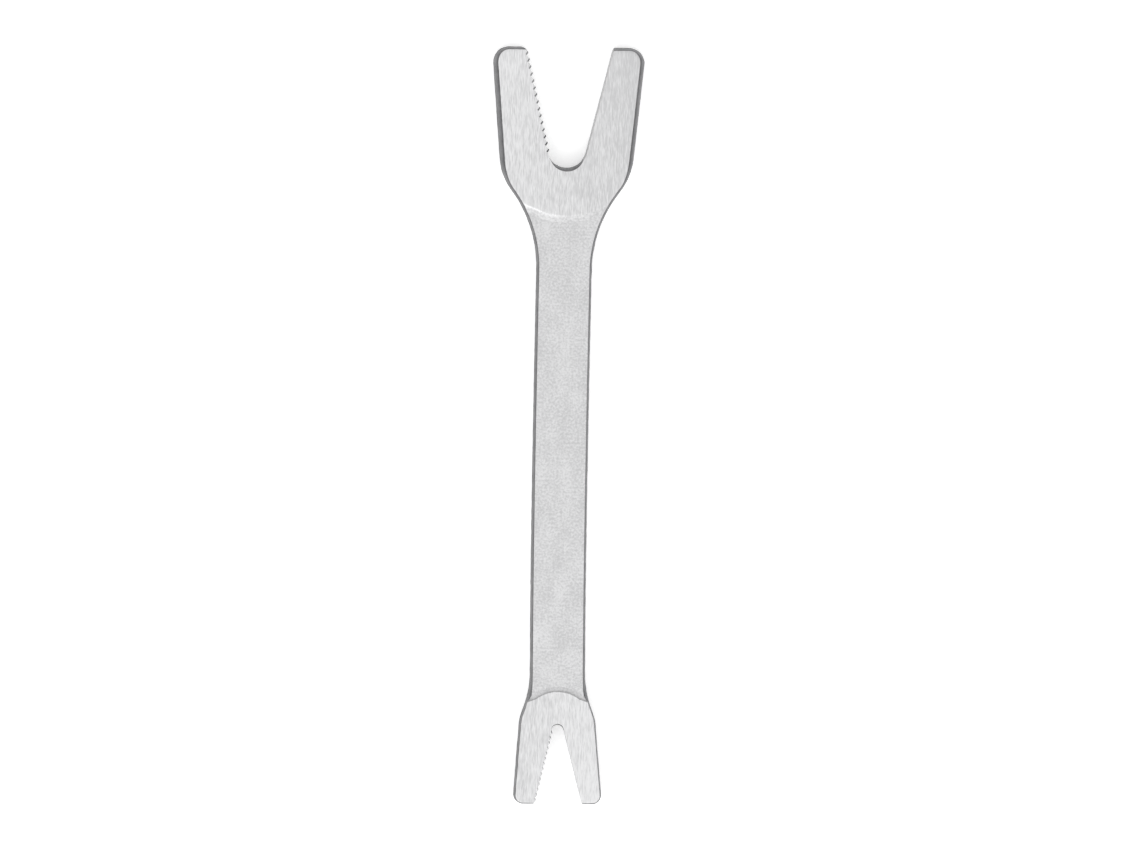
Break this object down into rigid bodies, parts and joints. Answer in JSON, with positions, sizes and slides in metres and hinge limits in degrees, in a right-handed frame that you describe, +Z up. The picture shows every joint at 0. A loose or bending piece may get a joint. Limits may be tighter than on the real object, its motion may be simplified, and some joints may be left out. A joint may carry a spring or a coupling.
{
  "type": "alligator wrench",
  "caption": "One-piece forged steel wrench with a toothed V jaw at each end, one large and one small, for pipe, rod, valve stems and nuts of many sizes.",
  "frame": {"origin": "centre of the bounding box's underside, on the surface that the tool lies on", "axes": "+Y towards the large head, +X towards the smooth jaws (the toothed jaws are at -X), +Z up out of the front face"},
  "size_m": [0.0504, 0.254, 0.008],
  "materials": {
    "blasted_steel": "forged and blasted, satin grey, with a faint mottle and a few small pits",
    "ground_steel": "faces ground bright with fine streaks along the length, side walls as forged"
  },
  "bodies": {
    "root": {"shank": "blasted_steel", "large_jaw_head": "ground_steel", "small_jaw_head": "ground_steel"}
  },
  "joints": []
}
